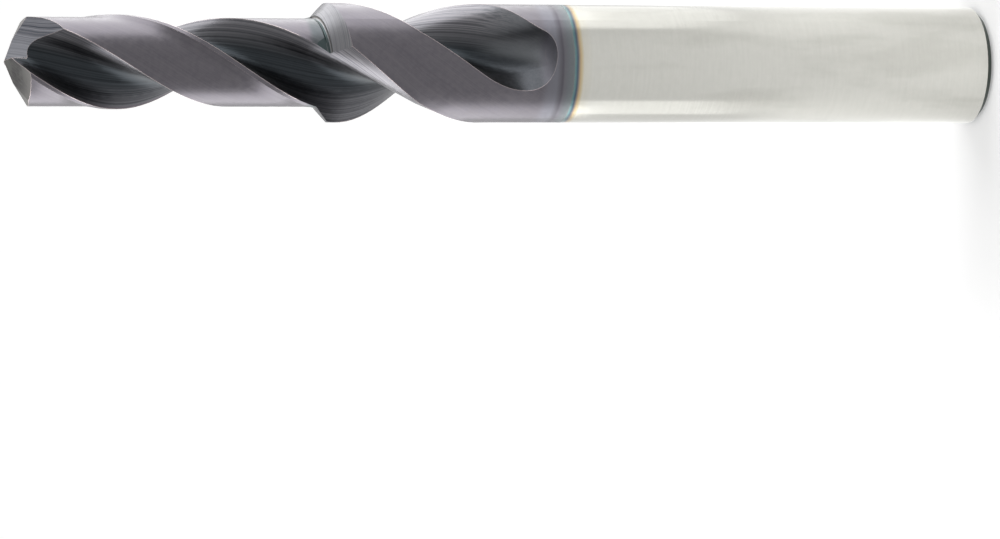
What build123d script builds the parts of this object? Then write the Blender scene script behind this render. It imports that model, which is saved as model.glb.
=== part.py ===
from build123d import *
from math import acos, cos, degrees, radians, sin, sqrt, tan
import os

os.makedirs("parts", exist_ok=True)

# Frame: origin at the centre of the shank's end face, +Z along the axis to the point.
# The centre line of the first flute lies on +X at the height of the point.
# Seen from the point, the drill cuts while it turns towards growing azimuth.

# Overall sizes in millimetres; angles below are in degrees
overall_length = 102.0
shank_length = 45.0
shank_diameter = 12.0
shank_chamfer = 0.6
body_diameter = 12.0
back_taper = 0.02
pilot_diameter = 9.4
pilot_length = 31.3

# Flutes: a right-hand helix; the ground profile is a straight rake wall, a round floor and a round heel
flute_count = 2
flute_lead = 45.0
flute_length = 47.5
web_diameter = 3.14
rake_offset = 0.23
rake_direction = -48.65
floor_radius = 2.73
floor_turn = 88.0
heel_radius = 2.9
heel_turn = 66.0

# Run-out: past a steady length the lead grows longer, and then the wheel leaves the metal along an arc
steady_length = 41.1
run_out_lead = 54.5
run_out_radius = 8.2
run_out_direction = 47.7
full_depth_sections = 4
rising_sections = 9

# Lands of the pilot: a narrow full-size margin, then the body clearance
margin_width = 0.5
clearance_depth = 0.27

# Step: a cone about a tilted axis, so that it falls away behind each cutting edge; a groove along its root
step_half_angle = 45.0
step_tilt = 7.8
step_tilt_direction = 130.0
step_lead_in = 15.0
step_sweep = 130.0
root_radius = 0.28
root_depth = 0.15
root_undercut = 0.08
root_start = 9.0

# Heel bevel: a small flat at the back corner of each pilot land, beside the groove
bevel_turn = 75.3
bevel_width = 9.7
bevel_drop = 0.54
bevel_rise = 0.98
bevel_slope = 12.0

# Point: two primary facets, two lesser relief facets behind them and two gashes that thin the web
point_angle = 135.0
lip_direction = -70.8
lip_relief = 11.9
back_relief = 20.8
back_facet_direction = 180.0
back_facet_distance = 1.37
gash_direction = -38.0
gash_slope = 51.7
gash_opening = 103.0
gash_offset = 0.08
gash_corner_radius = 0.15

# Room by which a cutter passes the metal that it takes away, in length and in turn
spare = 1.5
spare_turn = 15.0

# Values worked out from the sizes above
shank_radius = shank_diameter / 2
body_radius = body_diameter / 2
pilot_radius = pilot_diameter / 2
web_radius = web_diameter / 2
step_height = overall_length - pilot_length
steady_end = overall_length - steady_length
flute_end = overall_length - flute_length
twist_rate = 360 / flute_lead
run_out_rate = 360 / run_out_lead
cutter_top = overall_length + spare
cutter_radius = body_radius + spare
closing_distance = 2 * body_diameter
run_out_rise = cutter_radius - web_radius
run_out_turn = degrees(acos(1 - run_out_rise / run_out_radius))


# A horizontal vector of the given length and azimuth
def polar(length, azimuth):
    return Vector(length * cos(radians(azimuth)), length * sin(radians(azimuth)))


# A level plane that turns with the helix, and ahead of it by some angle
def turned_plane(height, ahead):
    azimuth = twist_rate * (height - overall_length) + ahead
    return Plane(origin=(0, 0, height), x_dir=polar(1, azimuth), z_dir=(0, 0, 1))


# A wire along the axis and a helix beside it, which guide a profile that turns with the flutes
def helical_path(low, high):
    with BuildLine() as path:
        Line((0, 0, low), (0, 0, high))
    with BuildLine() as guide:
        Helix(pitch=flute_lead, height=high - low, radius=pilot_radius, center=(0, 0, low))
    return path.wire(), guide.wire()


# Azimuth of the leading edge at a radius, in the turning frame of the flute
def leading_azimuth(radius):
    return rake_direction + 90 - degrees(acos(rake_offset / radius))


# The floor's arc touches both the rake wall and the web; this is where it meets the rake wall
rake_normal = polar(1, rake_direction + 90)
floor_reach = web_radius + floor_radius
floor_azimuth = rake_direction + 90 - degrees(acos((rake_offset + floor_radius) / floor_reach))
rake_foot = polar(floor_reach, floor_azimuth) - rake_normal * floor_radius


# The profile that the flute's wheel takes away at a height, lifted out of the metal by a distance
def flute_section(height, lift):
    shift = polar(lift, run_out_direction)
    rake_rim = rake_foot + polar(cutter_radius, rake_direction)
    ahead = (twist_rate - run_out_rate) * max(steady_end - height, 0)
    with BuildSketch(turned_plane(height, ahead)) as section:
        with BuildLine():
            rake = Line(rake_rim + shift, rake_foot + shift)
            floor = JernArc(rake @ 1, rake % 1, radius=floor_radius, arc_size=-floor_turn)
            heel = JernArc(floor @ 1, floor % 1, radius=heel_radius, arc_size=heel_turn)
            mouth = Line(heel @ 1, heel @ 1 + (heel % 1) * cutter_radius)
            outward = (mouth @ 1 + rake @ 0 - shift * 2).normalized()
            Polyline(mouth @ 1, shift + outward * closing_distance, rake @ 0)
        make_face()
    return section.sketch


# Flute cutter, with a steady lead from there to beyond the point
flute_path, flute_guide = helical_path(steady_end, cutter_top)
with BuildPart() as flute:
    sweep(flute_section(steady_end, 0), path=flute_path, binormal=flute_guide)

# Run-out cutter: the same profile at full depth with the longer lead, then rising along the arc
run_out_profiles = []
for index in range(full_depth_sections):
    below = (steady_end - flute_end) * index / full_depth_sections
    run_out_profiles.append(flute_section(steady_end - below, 0))
for index in range(rising_sections + 1):
    turn = radians(run_out_turn * index / rising_sections)
    rise = run_out_radius * (1 - cos(turn))
    run_out_profiles.append(flute_section(flute_end - run_out_radius * sin(turn), rise))
with BuildPart() as run_out:
    loft(run_out_profiles)

# Clearance cutter of a pilot land: a flat behind the margin runs into a smaller round
clearance_radius = pilot_radius - clearance_depth
clearance_rim = pilot_radius + spare
margin_end = leading_azimuth(pilot_radius) - degrees(margin_width / pilot_radius)
round_start = margin_end - degrees(acos(clearance_radius / pilot_radius))
round_end = leading_azimuth(pilot_radius) - 360 / flute_count / 2 - spare_turn
rim_start = round_start + degrees(acos(clearance_radius / clearance_rim))
pilot_foot = step_height - pilot_radius
clearance_path, clearance_guide = helical_path(pilot_foot, cutter_top)
with BuildPart() as clearance:
    with BuildSketch(turned_plane(pilot_foot, 0)):
        with BuildLine():
            Line(polar(clearance_rim, rim_start), polar(clearance_radius, round_start))
            CenterArc((0, 0), clearance_radius, round_start, round_end - round_start)
            Line(polar(clearance_radius, round_end), polar(clearance_rim, round_end))
            CenterArc((0, 0), clearance_rim, round_end, rim_start - round_end)
        make_face()
    sweep(path=clearance_path, binormal=clearance_guide)

# Plane square to the axis of the step's wheel, which leans over behind the cutting edge
up = Vector(0, 0, 1)
step_azimuth = leading_azimuth(pilot_radius) + twist_rate * (step_height - overall_length)
step_origin = up * step_height
lean = polar(sin(radians(step_tilt)), step_azimuth - step_tilt_direction)
step_up = up * cos(radians(step_tilt)) + lean
step_plane = Plane(step_origin, x_dir=step_up.cross(lean.cross(up)), z_dir=step_up)
step_axis = Axis(step_origin, -step_up)
corner = step_plane.to_local_coords(step_origin + polar(pilot_radius, step_azimuth))
corner_radius = sqrt(corner.X**2 + corner.Y**2)
step_slope = 1 / tan(radians(step_half_angle))


# An upright plane through the wheel's axis, at an angle behind the cutting edge
def wheel_plane(angle):
    turn = radians(step_tilt_direction - angle)
    outward = step_plane.x_dir * cos(turn) + step_plane.y_dir * sin(turn)
    return Plane(step_origin, x_dir=outward, z_dir=outward.cross(step_up))


# Step cutter: all that lies above the cone, which passes through the foot of the cutting edge
with BuildPart() as step_relief:
    with BuildSketch(wheel_plane(-step_lead_in)):
        with BuildLine():
            inner = (corner_radius - spare, corner.Z + spare * step_slope)
            reach = cutter_radius - pilot_radius
            outer = (corner_radius + reach, corner.Z - reach * step_slope)
            Polyline(inner, outer, (outer[0], inner[1] + spare), (inner[0], inner[1] + spare), close=True)
        make_face()
    revolve(axis=step_axis, revolution_arc=step_sweep)

# Root groove: the round corner of a wheel, sunk into the foot of the pilot land and of the cone
with BuildPart() as step_root:
    with BuildSketch(wheel_plane(root_start)):
        root_middle = pilot_radius - clearance_depth - root_undercut + root_radius
        root_lift = (root_radius - root_depth) / sin(radians(step_half_angle))
        with Locations((root_middle, corner.Z + root_lift - (root_middle - corner_radius) * step_slope)):
            Circle(root_radius)
    revolve(axis=step_axis, revolution_arc=step_sweep - step_lead_in - root_start)

# Heel bevel cutter: a plane through two points of the cleared land falls towards the flute
bevel_azimuth = step_azimuth - bevel_turn
bevel_front = polar(clearance_radius, bevel_azimuth) + up * (step_height - bevel_drop)
bevel_back = polar(clearance_radius, bevel_azimuth - bevel_width) + up * (bevel_front.Z + bevel_rise)
bevel_along = (bevel_back - bevel_front).normalized()
bevel_out = polar(1, bevel_azimuth - bevel_width / 2)
bevel_side = bevel_out.cross(bevel_along)
bevel_normal = bevel_out * cos(radians(bevel_slope)) + bevel_side * sin(radians(bevel_slope))
with BuildPart() as heel_bevel:
    with BuildSketch(Plane((bevel_front + bevel_back) / 2, x_dir=bevel_along, z_dir=bevel_normal)):
        Rectangle(pilot_radius, pilot_diameter)
    extrude(amount=spare)

# Gash cutter: a wheel with a square-cut corner that runs down from the centre of the point
apex = Vector(0, 0, overall_length)
gash_along = polar(cos(radians(gash_slope)), gash_direction) - Vector(0, 0, sin(radians(gash_slope)))
gash_across = polar(1, gash_direction + 90)
gash_plane = Plane(origin=apex + gash_across * gash_offset, x_dir=gash_across, z_dir=gash_along)
with BuildPart() as gash:
    with BuildSketch(gash_plane):
        with BuildLine():
            fall = cutter_radius * tan(radians(gash_opening - 90))
            far_side = (cutter_radius, -fall)
            Polyline((0, 0), far_side, (cutter_radius, cutter_radius), (0, cutter_radius), close=True)
        gash_section = make_face()
        fillet(gash_section.vertices().sort_by_distance((0, 0, 0))[0], gash_corner_radius)
    extrude(amount=cutter_radius, both=True)

# Body: full size at the step and a trace thinner towards the shank, so that its lands run free in the hole
body_length = step_height - shank_length
body_foot = body_radius - body_length * tan(radians(back_taper))
with BuildPart() as body:
    with Locations((0, 0, shank_length)):
        Cone(body_foot, body_radius, body_length, align=(Align.CENTER, Align.CENTER, Align.MIN))
    with PolarLocations(0, flute_count):
        add(step_relief.part, mode=Mode.SUBTRACT)

# Pilot: the smaller cylinder, rooted in the body, with its lands cleared behind the margins
with BuildPart() as pilot:
    with BuildSketch(Plane.XY.offset(pilot_foot)):
        Circle(pilot_radius)
    extrude(amount=overall_length - pilot_foot)
    with PolarLocations(0, flute_count):
        add(clearance.part, mode=Mode.SUBTRACT)
        add(heel_bevel.part, mode=Mode.SUBTRACT)

# Slope of a primary facet: along the lip it follows the point angle, behind the lip the relief
lip_fall = 1 / tan(radians(point_angle / 2))
primary_slope = polar(lip_fall, lip_direction) + polar(tan(radians(lip_relief)), lip_direction - 90)
back_slope = primary_slope + polar(tan(radians(back_relief)), back_facet_direction)
back_origin = apex + polar(back_facet_distance, back_facet_direction)
back_origin -= Vector(0, 0, primary_slope.dot(back_origin - apex))

with BuildPart() as step_drill_bit:
    # The round shank with its chamfered end
    Cylinder(shank_radius, shank_length, align=(Align.CENTER, Align.CENTER, Align.MIN))
    chamfer(step_drill_bit.edges().group_by(Axis.Z)[0], shank_chamfer)
    add(body.part)
    add(pilot.part)
    # What the wheels take away, once for each flute
    with PolarLocations(0, flute_count):
        add(step_root.part, mode=Mode.SUBTRACT)
        add(flute.part, mode=Mode.SUBTRACT)
        add(run_out.part, mode=Mode.SUBTRACT)
        add(gash.part, mode=Mode.SUBTRACT)
    # The flat facets of the point
    for index in range(flute_count):
        turn = 360 / flute_count * index
        facet = Plane(apex, z_dir=(primary_slope + up).rotate(Axis.Z, turn))
        split(bisect_by=facet, keep=Keep.BOTTOM)
        back_facet = Plane(back_origin.rotate(Axis.Z, turn), z_dir=(back_slope + up).rotate(Axis.Z, turn))
        split(bisect_by=back_facet, keep=Keep.BOTTOM)

step_drill_bit.part.label = "step_drill_bit"
export_step(step_drill_bit.part, "parts/step_drill_bit.step")
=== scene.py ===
from math import atan, cos, pi, radians, sin

import bpy
from mathutils import Matrix, Vector


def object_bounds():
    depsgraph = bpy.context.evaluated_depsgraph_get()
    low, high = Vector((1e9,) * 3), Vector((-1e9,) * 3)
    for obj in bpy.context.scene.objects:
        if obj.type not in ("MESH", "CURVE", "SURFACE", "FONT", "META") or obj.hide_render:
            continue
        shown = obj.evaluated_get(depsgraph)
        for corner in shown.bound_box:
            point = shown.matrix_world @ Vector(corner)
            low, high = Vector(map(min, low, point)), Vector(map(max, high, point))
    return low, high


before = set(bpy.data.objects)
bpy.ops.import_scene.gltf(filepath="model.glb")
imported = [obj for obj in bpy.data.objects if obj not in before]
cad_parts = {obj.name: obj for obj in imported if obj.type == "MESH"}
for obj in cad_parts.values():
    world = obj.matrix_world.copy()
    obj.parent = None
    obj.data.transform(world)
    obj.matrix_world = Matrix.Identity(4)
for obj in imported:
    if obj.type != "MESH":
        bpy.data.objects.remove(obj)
cad_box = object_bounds()


# Step drill bit: one ground rod of cemented carbide. The shank is bright from the centreless grinder, and all
# above it has a thin dark coating, whose edge runs through the heat colours of a film that gets thinner. The
# wheels have left their lines: along the flutes, round the step, and straight over the gashes and the point.
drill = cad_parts["step_drill_bit"]

# Sizes in millimetres, with heights above the shank's end. The flutes twist by so much for each millimetre
# down from the point, and by a little less below the height at which they begin to run out.
metre = 1000.0
overall_length = cad_box[1][2] * metre
body_radius = cad_box[1][0] * metre
cleared_radius = 4.43
shank_length = 45.0
shank_chamfer = 0.6
step_height = 70.7
twist_rate = radians(8.0)
run_out_start = 60.9
run_out_slackening = radians(1.39)

# A noise keeps to about 0.3 to 0.7. The narrower the part of it that is used, the stronger its contrast.
gentle = (0.3, 0.7)
clear = (0.35, 0.65)
strong = (0.38, 0.62)


def empty_tree(owner):
    """Gives a material or a world an empty node tree, which the functions below then fill."""
    owner.use_nodes = True
    owner.node_tree.nodes.clear()
    return owner.node_tree


def add_node(kind, inputs=None, **settings):
    """Adds a shader node to the tree; an input that is a socket is linked, any other is set as its value."""
    node = tree.nodes.new("ShaderNode" + kind)
    for name, setting in settings.items():
        setattr(node, name, setting)
    for key, given in (inputs or {}).items():
        if isinstance(given, bpy.types.NodeSocket):
            tree.links.new(given, node.inputs[key])
        else:
            node.inputs[key].default_value = given
    return node


def reckon(operation, first, *others):
    """Works from the first number through the others in turn; without others, on the first alone."""
    if not others:
        return add_node("Math", {0: first}, operation=operation).outputs[0]
    for other in others:
        first = add_node("Math", {0: first, 1: other}, operation=operation).outputs[0]
    return first


def times(*numbers):
    """The numbers multiplied; of masks, the places that are in all of them."""
    return reckon("MULTIPLY", *numbers)


def plus(*numbers):
    """The numbers added."""
    return reckon("ADD", *numbers)


def minus(first, second):
    """The first number less the second."""
    return reckon("SUBTRACT", first, second)


def most(*numbers):
    """The largest of the numbers; of masks, the places that are in any of them."""
    return reckon("MAXIMUM", *numbers)


def size_of(number):
    """The number without its sign."""
    return reckon("ABSOLUTE", number)


def more_than(number, limit):
    """A mask: 1 where the number is larger than the limit, and 0 elsewhere."""
    return reckon("GREATER_THAN", number, limit)


def less_than(number, limit):
    """A mask: 1 where the number is smaller than the limit, and 0 elsewhere."""
    return reckon("LESS_THAN", number, limit)


def rest_of(mask):
    """The places that the mask leaves out."""
    return minus(1.0, mask)


def between(number, low, high, at_low=0.0, at_high=1.0):
    """Goes smoothly from at_low to at_high while the number goes from low to high."""
    inputs = {"Value": number, "From Min": low, "From Max": high, "To Min": at_low, "To Max": at_high}
    return add_node("MapRange", inputs, interpolation_type="SMOOTHSTEP").outputs[0]


def stretched(vector, factors):
    """The vector with each of its three parts multiplied by a factor of its own."""
    return add_node("VectorMath", {0: vector, 1: factors}, operation="MULTIPLY").outputs[0]


def along(vector, direction):
    """How far the vector goes in a direction: the sum of the products of their parts."""
    return add_node("VectorMath", {0: vector, 1: direction}, operation="DOT_PRODUCT").outputs["Value"]


def length_of(vector):
    """The root of the sum of the squares of the vector's parts."""
    return add_node("VectorMath", {0: vector}, operation="LENGTH").outputs["Value"]


def grain(vector, per_millimetre, detail, roughness):
    """Noise with so many grains to a millimetre in each of the three directions."""
    place = stretched(vector, per_millimetre)
    inputs = {"Vector": place, "Scale": 1.0, "Detail": detail, "Roughness": roughness}
    return add_node("TexNoise", inputs).outputs[0]


def lines(number, per_millimetre, detail, roughness):
    """Noise that changes with one number only, so that it shows as lines."""
    vector = add_node("CombineXYZ", {0: number, 1: 0.0, 2: 0.0}).outputs[0]
    return grain(vector, (per_millimetre, 0.0, 0.0), detail, roughness)


def blend_number(factor, first, second):
    """Mixes two numbers; a factor of 0 gives the first."""
    return add_node("Mix", {0: factor, 2: first, 3: second}, data_type="FLOAT").outputs[0]


def blend_colour(factor, first, second):
    """Mixes two colours, each a socket or red, green, blue and 1; a factor of 0 gives the first."""
    return add_node("Mix", {0: factor, 6: first, 7: second}, data_type="RGBA").outputs[2]


def tint_ramp(number, tints):
    """Runs in straight steps through tints, each given as the number at which it stands and its colour."""
    bottom, top = tints[0][0], tints[-1][0]
    share = add_node("MapRange", {"Value": number, "From Min": bottom, "From Max": top}).outputs[0]
    node = add_node("ValToRGB", {0: share})
    for stop, _ in tints[1:-1]:
        node.color_ramp.elements.new((stop - bottom) / (top - bottom))
    for element, (_, colour) in zip(node.color_ramp.elements, tints):
        element.color = colour
    return node.outputs[0]


carbide = bpy.data.materials.new("ground_and_coated_carbide")
tree = empty_tree(carbide)

# Places in millimetres. Turned back by the flutes' twist, a place stays still along a flute.
coordinates = add_node("TexCoord").outputs
in_millimetres = {"Vector": coordinates["Object"], "Scale": (metre, metre, metre)}
millimetres = add_node("Mapping", in_millimetres).outputs[0]
height = add_node("SeparateXYZ", {0: millimetres}).outputs["Z"]
off_axis = stretched(millimetres, (1.0, 1.0, 0.0))
radius = length_of(off_axis)
twist = times(minus(overall_length, height), twist_rate)
slackening = times(most(minus(run_out_start, height), 0.0), run_out_slackening)
turning_back = {"Vector": millimetres, "Angle": minus(twist, slackening)}
unwound = add_node("VectorRotate", turning_back, rotation_type="Z_AXIS").outputs[0]

# How much the surface faces up towards the point, and out from the axis
normal = coordinates["Normal"]
facing_up = add_node("SeparateXYZ", {0: normal}).outputs["Z"]
outward = add_node("VectorMath", {0: off_axis}, operation="NORMALIZE").outputs[0]
facing_out = along(normal, outward)

# Gashes: the square corner of a wheel runs down from the middle of the point, a trace beside the axis. It
# grinds an upright side and a floor that leans away from it. A place is on one of them where it faces the
# same way and lies close to its plane. The second half of the drill is turned onto the first, so that both
# floors share one plane.
gash_direction = radians(-38.0)
gash_slope = radians(51.7)
gash_opening = radians(103.0)
gash_offset = 0.08
gash_foot = 96.9
gash_side = Vector((-sin(gash_direction), cos(gash_direction), 0))
gash_level = Vector((cos(gash_direction), sin(gash_direction), 0))
gash_corner = gash_level * cos(gash_slope) - Vector((0, 0, sin(gash_slope)))
gash_floor = gash_corner.cross(gash_side) * sin(gash_opening) - gash_side * cos(gash_opening)
gash_floor_distance = overall_length * gash_floor.z + gash_offset * gash_floor.dot(gash_side)
half = reckon("SIGN", along(millimetres, (gash_floor.x, gash_floor.y, 0.0)))
half_turn = add_node("CombineXYZ", {0: half, 1: half, 2: 1.0}).outputs[0]
folded = stretched(millimetres, half_turn)
facing_floor = along(stretched(normal, half_turn), gash_floor)
off_floor = size_of(minus(along(folded, gash_floor), gash_floor_distance))
facing_side = size_of(along(normal, gash_side))
off_side = size_of(along(millimetres, gash_side))
on_floor = times(more_than(facing_floor, 0.995), less_than(off_floor, 0.1))
on_side = times(more_than(facing_side, 0.998), less_than(off_side, 0.25), more_than(height, gash_foot))
on_gash = most(on_floor, on_side)

# The cone faces halfway up, the point nearly straight up, and the lands are all that reaches the full radius,
# which on the pilot is the radius that its lands are cleared to
cone_middle = step_height - 1.6
cone_reach = 2.0
body_to_pilot = (step_height + 0.2, step_height + 0.4)
land_radii = (body_radius - 0.05, cleared_radius - 0.03)
facing_cone = more_than(times(facing_out, facing_up), 0.42)
on_cone = times(facing_cone, less_than(size_of(minus(height, cone_middle)), cone_reach))
on_point = more_than(facing_up, 0.8)
on_land = more_than(radius, between(height, *body_to_pilot, *land_radii))

# Groove along the root of the cone, which gets painted shade, darkest where it turns away from the pilot's
# wall
root_height = step_height - 0.2
from_root = size_of(minus(height, root_height))
groove = times(between(from_root, 1.5, 0.8), between(radius, 4.1, 4.2), between(radius, 5.3, 4.9))
groove = times(groove, between(facing_out, 0.66, 0.74), rest_of(facing_cone))
# Painted shade in the groove, strongest where it turns away from the pilot's wall
shaded_groove = times(groove, between(size_of(facing_up), 0.03, 0.2, 0.45, 0.9))

# The flutes are the rest of the coated part, down to their run-out
run_out_top = 55.0
run_out_foot = 49.0
in_flute = rest_of(most(on_land, on_cone, on_point, on_gash, more_than(groove, 0.01)))
in_run_out = between(height, run_out_top, run_out_foot)
coated = between(height, shank_length - 0.1, shank_length + 0.1)

# Shank: faint rings from the grinder, long smudges from hands, and painted shade on the chamfer.
# Each tint of the film stands beside its height.
film_waviness = 0.3
# Painted shade: the chamfer is painted dark in place of the shadowed floor under the foot that it mirrors
shaded_chamfer_colour = (0.030, 0.044, 0.034, 1.0)
worn_colour = (0.285, 0.280, 0.250, 1.0)
film_tints = [
    (43.00, (0.475, 0.472, 0.440, 1.0)),
    (43.96, (0.465, 0.452, 0.400, 1.0)),
    (44.18, (0.420, 0.365, 0.255, 1.0)),
    (44.36, (0.370, 0.275, 0.155, 1.0)),
    (44.50, (0.200, 0.170, 0.140, 1.0)),
    (44.65, (0.050, 0.070, 0.100, 1.0)),
    (44.80, (0.070, 0.130, 0.150, 1.0)),
    (44.90, (0.095, 0.170, 0.175, 1.0)),
    (45.05, (0.125, 0.140, 0.145, 1.0)),
    (45.52, (0.115, 0.123, 0.132, 1.0)),
    (46.00, (0.108, 0.105, 0.118, 1.0)),
    (46.20, (0.078, 0.075, 0.087, 1.0)),
    (46.40, (0.095, 0.092, 0.105, 1.0)),
    (46.80, (0.126, 0.126, 0.143, 1.0)),
    (49.00, (0.118, 0.113, 0.130, 1.0)),
]
round_marks = grain(millimetres, (0.25, 0.25, 7.0), detail=4.0, roughness=0.6)
mottle = grain(millimetres, (1.6, 1.6, 1.6), detail=6.0, roughness=0.6)
cloud = grain(millimetres, (0.22, 0.22, 0.22), detail=3.0, roughness=0.5)
smudges = grain(millimetres, (0.3, 0.3, 0.06), detail=3.0, roughness=0.5)
smudged = between(smudges, 0.48, 0.68)
marked = between(round_marks, *gentle)
worn = plus(times(smudged, 0.22), times(marked, 0.07), between(mottle, *clear, 0.0, 0.05))
film_height = plus(height, times(minus(cloud, 0.5), film_waviness))
shank_colour = blend_colour(times(worn, rest_of(coated)), tint_ramp(film_height, film_tints), worn_colour)
shank_roughness = plus(times(plus(marked, smudged), 0.05), 0.14)
on_chamfer = times(less_than(height, shank_chamfer + 0.02), more_than(size_of(facing_up), 0.3))

# Lands: an even coating, with a little mottle and a trace of the flutes' lines
dark_land = (0.094, 0.088, 0.100, 1.0)
pale_land = (0.114, 0.107, 0.118, 1.0)
flute_lines = grain(unwound, (7.0, 7.0, 0.012), detail=4.0, roughness=0.6)
land_grain = times(plus(mottle, flute_lines), 0.5)
land_colour = blend_colour(between(land_grain, *clear), dark_land, pale_land)
land_roughness = between(mottle, *gentle, 0.33, 0.42)

# Flutes: fine lines all the way, painted shade on the rake side near the web, painted light at the heel and
# rim
dark_shaded_rake = (0.016, 0.0185, 0.021, 1.0)
pale_shaded_rake = (0.031, 0.0355, 0.040, 1.0)
dark_lit_heel = (0.090, 0.089, 0.098, 1.0)
pale_lit_heel = (0.200, 0.195, 0.208, 1.0)
shaded_run_out = (0.050, 0.054, 0.060, 1.0)
lit_run_out = (0.150, 0.158, 0.168, 1.0)
across = add_node("SeparateXYZ", {0: unwound}).outputs
heelward = reckon("DIVIDE", times(across["Y"], reckon("SIGN", across["X"])), radius)
# Painted light and shade: the share of the lit heel colour grows towards the heel and out towards the rim
paler = times(plus(between(heelward, 0.2, 0.85), between(radius, 1.8, 4.8)), 0.5)
shaded_rake_colour = blend_colour(between(flute_lines, *clear), dark_shaded_rake, pale_shaded_rake)
lit_heel_colour = blend_colour(between(flute_lines, *clear), dark_lit_heel, pale_lit_heel)
# Painted shade along the run-out's rake side, and painted light towards its heel
run_out_light_and_shade = blend_colour(between(heelward, -0.1, 0.35), shaded_run_out, lit_run_out)
flute_colour = blend_colour(paler, shaded_rake_colour, lit_heel_colour)
flute_colour = blend_colour(times(in_run_out, 0.8), flute_colour, run_out_light_and_shade)
flute_roughness = blend_number(in_run_out, between(flute_lines, *clear, 0.30, 0.42), 0.38)
flute_relief = blend_number(in_run_out, flute_lines, 0.5)

# Cone of the step: rings from the form wheel, and painted shade, dark blue-green, in the groove at its root
dark_cone = (0.118, 0.120, 0.128, 1.0)
pale_cone = (0.190, 0.188, 0.198, 1.0)
groove_shade_colour = (0.022, 0.044, 0.041, 1.0)
ring_lines = lines(minus(radius, height), 6.0, detail=3.0, roughness=0.6)
cone_colour = blend_colour(between(ring_lines, *clear), dark_cone, pale_cone)

# Gashes: lines that lean away from the corner and wander a little, and a paler middle
lines_per_millimetre = 3.576
wander_width = 0.755
lean = radians(10.13)
dark_gash = (0.055, 0.060, 0.074, 1.0)
pale_gash = (0.250, 0.252, 0.275, 1.0)
gash_middle = (0.350, 0.355, 0.385, 1.0)
across_lines = gash_floor.cross(gash_corner) * cos(lean) + gash_corner * sin(lean)
drift = grain(folded, (0.3, 0.3, 0.3), detail=1.0, roughness=0.5)
wandering = plus(along(folded, across_lines), times(minus(drift, 0.5), wander_width))
gash_lines = lines(wandering, lines_per_millimetre, detail=5.0, roughness=0.7)
gash_colour = blend_colour(between(gash_lines, *strong), dark_gash, pale_gash)
gash_colour = blend_colour(between(radius, 3.2, 1.4, 0.0, 0.5), gash_colour, gash_middle)

# Point: lines along the cutting edges, stains from cutting oil, and a paler rim
dark_point = (0.052, 0.050, 0.051, 1.0)
pale_point = (0.115, 0.112, 0.110, 1.0)
point_stain = (0.152, 0.153, 0.142, 1.0)
point_rim = (0.235, 0.228, 0.220, 1.0)
point_lines = grain(millimetres, (9.4, 0.9, 0.0), detail=3.0, roughness=0.6)
stains = grain(millimetres, (0.8, 0.8, 0.8), detail=3.0, roughness=0.6)
point_colour = blend_colour(between(point_lines, *gentle), dark_point, pale_point)
point_colour = blend_colour(between(stains, 0.42, 0.6, 0.0, 0.6), point_colour, point_stain)
point_colour = blend_colour(between(radius, 2.4, 4.9), point_colour, point_rim)

# Edges: worn thin coating with a painted highlight along it, less so in the run-out and not by the groove
edge_width = 0.1
worn_edge_highlight_colour = (0.62, 0.53, 0.52, 1.0)
rounded = add_node("Bevel", {"Radius": edge_width / metre}, samples=6).outputs[0]
flatness = along(rounded, add_node("NewGeometry").outputs["Normal"])
edge_strength = between(height, run_out_top + 2.0, run_out_foot, 0.8, 0.35)
beside_groove = between(from_root, 2.6, 2.1)
on_worn_edge_highlight = times(between(flatness, 0.99, 0.92), edge_strength, rest_of(beside_groove), coated)

# All finishes and painted light and shade, each over the ones before it, and the depth of the wheels' lines
line_depth = 0.01
coat_colour = blend_colour(in_flute, land_colour, flute_colour)
coat_colour = blend_colour(on_cone, coat_colour, cone_colour)
coat_colour = blend_colour(on_gash, coat_colour, gash_colour)
coat_colour = blend_colour(on_point, coat_colour, point_colour)
coat_colour = blend_colour(shaded_groove, coat_colour, groove_shade_colour)
past_film = between(height, shank_length + 2.4, shank_length + 3.4)
surface_colour = blend_colour(past_film, shank_colour, coat_colour)
surface_colour = blend_colour(on_chamfer, surface_colour, shaded_chamfer_colour)
surface_colour = blend_colour(on_worn_edge_highlight, surface_colour, worn_edge_highlight_colour)
coat_roughness = blend_number(in_flute, land_roughness, flute_roughness)
surface_roughness = blend_number(coated, shank_roughness, coat_roughness)
surface_roughness = blend_number(on_chamfer, surface_roughness, 0.5)
relief = blend_number(in_flute, times(round_marks, 0.35), flute_relief)
relief = blend_number(on_gash, relief, gash_lines)
relief = blend_number(on_point, relief, point_lines)
relief = blend_number(on_cone, relief, ring_lines)
bump = add_node("Bump", {"Strength": 0.4, "Distance": line_depth / metre, "Height": relief}).outputs[0]
metal = {"Base Color": surface_colour, "Metallic": 1.0, "Roughness": surface_roughness, "Normal": bump}
add_node("OutputMaterial", {"Surface": add_node("BsdfPrincipled", metal).outputs[0]})
drill.material_slots[0].material = carbide


# Floor: a plain pale table on which the drill stands on its shank. It is white to the camera and in the
# metal, but less so close to the drill, where the panels light it and the drill's soft shadow lies on it.
# Its sizes are in metres.
floor_reach = 4.0
shadow_reach = 0.02
white_reach = 0.06
floor_grey = (0.6, 0.6, 0.6, 1.0)
floor_white = 0.75
shadow_white = 0.3
corners = [(floor_reach * x, floor_reach * y, 0) for x, y in [(-1, -1), (1, -1), (1, 1), (-1, 1)]]
floor_mesh = bpy.data.meshes.new("floor")
floor_mesh.from_pydata(corners, [], [(0, 1, 2, 3)])
floor = bpy.data.objects.new("floor", floor_mesh)
bpy.context.collection.objects.link(floor)

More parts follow.
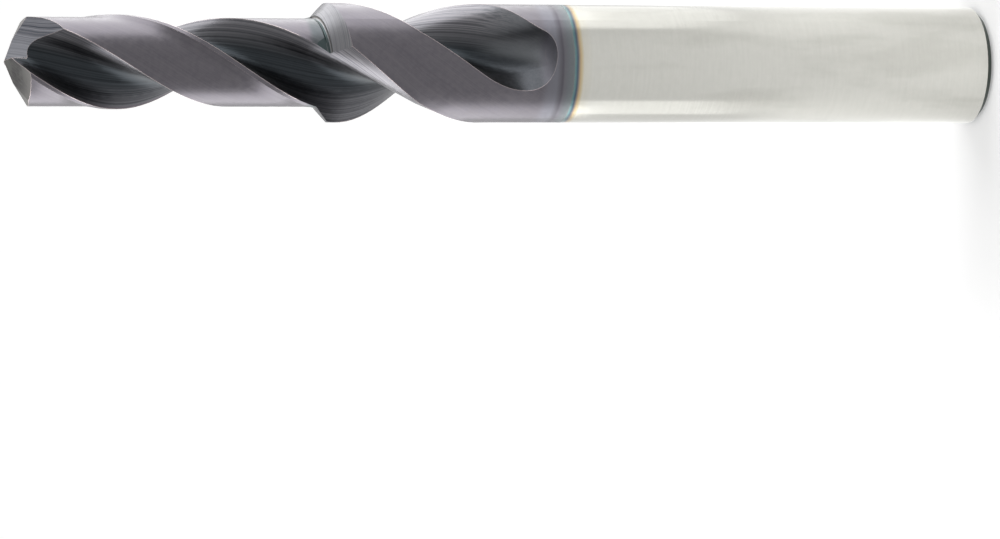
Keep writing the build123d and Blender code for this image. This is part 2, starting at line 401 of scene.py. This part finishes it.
pale = bpy.data.materials.new("pale_floor")
tree = empty_tree(pale)
rays = add_node("LightPath").outputs
from_drill = length_of(add_node("TexCoord").outputs["Object"])
whiteness = between(from_drill, shadow_reach, white_reach, shadow_white, floor_white)
seen_white = times(rays["Is Camera Ray"], whiteness)
mirrored_white = times(most(rays["Is Glossy Ray"], rays["Is Transmission Ray"]), floor_white)
matt = add_node("BsdfDiffuse", {"Color": floor_grey}).outputs[0]
lift = add_node("Emission", {"Strength": plus(seen_white, mirrored_white)}).outputs[0]
add_node("OutputMaterial", {"Surface": add_node("AddShader", {0: matt, 1: lift}).outputs[0]})
floor_mesh.materials.append(pale)


# Studio: an even white room that gives half as much light as it shows, and close to the drill a tall soft
# panel on each side, which the shank mirrors as a bright band, with a dimmer strip under it. One more panel
# hangs above.
room_white = 1.0
room_light = 0.5
world = bpy.data.worlds.new("studio")
tree = empty_tree(world)
rays = add_node("LightPath").outputs
seen = most(rays["Is Camera Ray"], rays["Is Glossy Ray"], rays["Is Transmission Ray"])
room_strength = plus(times(seen, room_white - room_light), room_light)
add_node("OutputWorld", {"Surface": add_node("Background", {"Strength": room_strength}).outputs[0]})
bpy.context.scene.world = world

# Sizes in metres. A panel's turn is in degrees round the drill, counted from where the camera stands.
camera_azimuth = radians(-47.1)
panel_distance = 0.08
strip_foot = 0.001
strip_top = 0.022
panel_top = 0.15
panel_over_width = 0.4
panel_over_height = 0.6


def soft_panel(name, width, length, radiance):
    """A rectangular lamp that shines down; its watts are its radiance times pi times its area."""
    lamp = bpy.data.lights.new(name, "AREA")
    lamp.shape = "RECTANGLE"
    lamp.size = width
    lamp.size_y = length
    lamp.energy = radiance * pi * width * length
    panel = bpy.data.objects.new(name, lamp)
    panel.visible_camera = False
    bpy.context.collection.objects.link(panel)
    return panel


def side_panel(name, turn, width, foot, top, radiance):
    """A soft panel that stands upright beside the drill and faces it."""
    azimuth = camera_azimuth + radians(turn)
    outwards = Vector((cos(azimuth), sin(azimuth), 0))
    panel = soft_panel(name, width, top - foot, radiance)
    panel.location = outwards * panel_distance + Vector((0, 0, (foot + top) / 2))
    panel.rotation_euler = (-outwards).to_track_quat("-Z", "Y").to_euler()


side_panel("strip_above", turn=111.0, width=0.13, foot=strip_foot, top=strip_top, radiance=0.65)
side_panel("panel_above", turn=111.0, width=0.13, foot=strip_top, top=panel_top, radiance=3.2)
side_panel("strip_below", turn=-94.0, width=0.055, foot=strip_foot, top=strip_top, radiance=0.65)
side_panel("panel_below", turn=-108.0, width=0.066, foot=strip_top, top=panel_top, radiance=3.4)
panel_over = soft_panel("panel_over", panel_over_width, panel_over_width, radiance=0.9)
panel_over.location = (0, 0, panel_over_height)


# Camera: a long lens that looks at the drill from a little towards its point. It is turned on its side, so
# that the standing drill lies across the picture, and dips a little, so that the drill lies above the middle.
# In the picture, the drill's axis lies on one row, and one height of it on the middle column.
image_width = 1000
image_height = 539
focal_pixels = 5200.0
pixels_per_metre = 9870.0
row_of_axis = 63.4
middle_height = 0.051116
elevation = radians(16.1)
roll = 0.004
distance = focal_pixels / pixels_per_metre
dip = atan((image_height / 2 - row_of_axis) / focal_pixels)

towards_camera = Vector((cos(camera_azimuth), sin(camera_azimuth), 0))
back = towards_camera * cos(elevation) + Vector((0, 0, sin(elevation)))
up = Vector((-sin(camera_azimuth), cos(camera_azimuth), 0))
right = up.cross(back)
right, up = right * cos(roll) + up * sin(roll), up * cos(roll) - right * sin(roll)
location = Vector((0, 0, middle_height)) + back * distance
back, up = back * cos(dip) + up * sin(dip), up * cos(dip) - back * sin(dip)

lens = bpy.data.cameras.new("camera")
lens.sensor_fit = "HORIZONTAL"
lens.sensor_width = 36.0
lens.lens = focal_pixels / image_width * lens.sensor_width
lens.clip_end = 20.0
camera = bpy.data.objects.new("camera", lens)
camera.matrix_world = Matrix.Translation(location) @ Matrix((right, up, back)).transposed().to_4x4()
bpy.context.collection.objects.link(camera)
bpy.context.scene.camera = camera
bpy.context.scene.view_settings.view_transform = "Standard"
